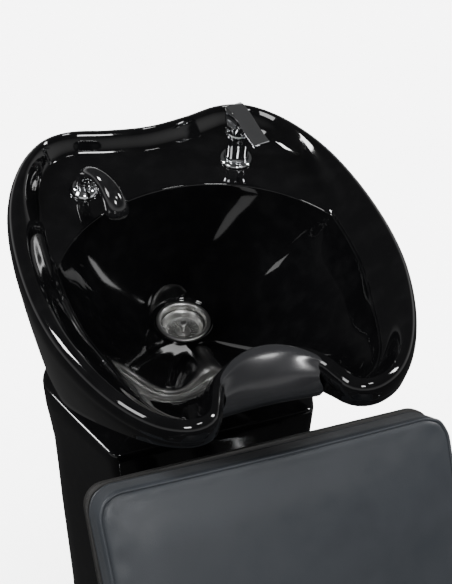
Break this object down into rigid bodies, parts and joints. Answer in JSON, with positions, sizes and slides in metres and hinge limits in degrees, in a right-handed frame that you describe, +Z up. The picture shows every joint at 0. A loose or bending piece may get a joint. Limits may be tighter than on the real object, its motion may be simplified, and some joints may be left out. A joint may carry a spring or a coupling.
{
  "type": "shampoo backwash unit",
  "caption": "Salon backwash unit: tilting ceramic basin with mixer, hand shower and neck rest on a pedestal, joined to a reclined armchair.",
  "frame": {"origin": "centre of the pedestal's floor bolt pattern, on the floor", "axes": "+Z up; +Y from the chair towards the pedestal; +X to the right seen from the chair's front"},
  "size_m": [0.636, 1.2014, 1.0199],
  "materials": {
    "glazed_ceramic_black": "gloss",
    "gloss_black_shell": "gloss",
    "smoke_gel": "satin",
    "black_vinyl": "satin",
    "black_board": "satin",
    "moulded_foam": "satin",
    "zinc_steel": "satin",
    "powder_coated_steel": "satin",
    "zinc_bolts": "satin",
    "fibre_washer": "matte",
    "stainless": "satin",
    "chrome": "polished",
    "white_plastic": "gloss",
    "grey_hose": "satin",
    "black_rubber": "matte",
    "braided_hose": "satin",
    "black_hose": "satin",
    "brass_nut": "satin",
    "red_plastic": "gloss",
    "gloss_black_plastic": "gloss",
    "grey_rubber": "matte"
  },
  "bodies": {
    "base": {"base_plate": "zinc_steel", "frame_posts": "powder_coated_steel", "frame_top_plate": "powder_coated_steel", "front_bracket": "powder_coated_steel", "tilt_bracket_lower": "zinc_steel", "bracket_bolts": "zinc_bolts", "pivot_bolts": "zinc_bolts", "pivot_nuts": "zinc_bolts", "friction_washers": "fibre_washer", "pedestal_shell": "gloss_black_shell", "rear_panel": "gloss_black_shell", "panel_screws": "stainless", "bottle_trap": "white_plastic", "waste_outlet_pipe": "white_plastic", "supply_bracket": "zinc_steel", "hot_valve": "chrome", "cold_valve": "chrome", "link_beams": "powder_coated_steel", "link_bolts": "zinc_bolts", "seat_crossbar_front": "chrome", "seat_crossbar_rear": "chrome", "seat_rails": "powder_coated_steel", "seat_board": "black_board", "seat_cushion": "black_vinyl", "backrest_cushion": "black_vinyl", "backrest_board": "black_board", "backrest_struts": "powder_coated_steel", "side_frame_left": "chrome", "side_frame_right": "chrome", "armrest_pad_left": "moulded_foam", "armrest_pad_right": "moulded_foam", "frame_bolts": "chrome", "foot_glides": "black_rubber"},
    "basin_unit": {"basin": "glazed_ceramic_black", "tilt_bracket_upper": "zinc_steel", "basin_bolts": "zinc_bolts", "neck_rest": "smoke_gel", "waste_flange": "stainless", "waste_gasket": "black_rubber", "waste_lock_nut": "white_plastic", "waste_hose": "grey_hose", "mixer_base_ring": "chrome", "mixer_body": "chrome", "mixer_fixing_nut": "brass_nut", "hot_hose": "braided_hose", "cold_hose": "braided_hose", "shower_hose": "black_hose", "shower_socket": "chrome", "socket_nut": "brass_nut"},
    "mixer_cartridge": {"cartridge_stem": "white_plastic"},
    "mixer_handle": {"mixer_lever": "chrome", "temperature_dot": "red_plastic"},
    "shower_hose_end": {"shower_cone": "chrome"},
    "hand_shower_unit": {"hand_shower": "gloss_black_plastic", "spray_face": "grey_rubber"},
    "strainer": {"strainer_basket": "stainless", "strainer_knob": "stainless"}
  },
  "joints": [
    {"name": "basin_tilt", "type": "hinge", "parent": "base", "child": "basin_unit", "pos_m": [0, 0.04, 0.672], "axis": [1, 0, 0], "range_deg": [-14, 0], "deforming": ["waste_hose", "hot_hose", "cold_hose"]},
    {"name": "mixer_turn", "type": "hinge", "parent": "basin_unit", "child": "mixer_cartridge", "pos_m": [0.111, 0.1057, 0.98339], "axis": [0, -0.1839, 0.9829], "range_deg": [-45, 45]},
    {"name": "mixer_lift", "type": "hinge", "parent": "mixer_cartridge", "child": "mixer_handle", "pos_m": [0.111, 0.10478, 0.9883], "axis": [-0.9848, -0.1707, -0.0319], "range_deg": [0, 22]},
    {"name": "shower_pull", "type": "slide", "parent": "basin_unit", "child": "shower_hose_end", "axis": [0, -0.1839, 0.9829], "range_m": [0, 0.06], "deforming": ["shower_hose"]},
    {"name": "shower_turn", "type": "hinge", "parent": "shower_hose_end", "child": "hand_shower_unit", "pos_m": [-0.122, 0.10562, 0.94573], "axis": [0, -0.1839, 0.9829], "range_deg": [-50, 90]},
    {"name": "strainer_lift", "type": "slide", "parent": "basin_unit", "child": "strainer", "axis": [0, -0.1839, 0.9829], "range_m": [0, 0.04]}
  ]
}
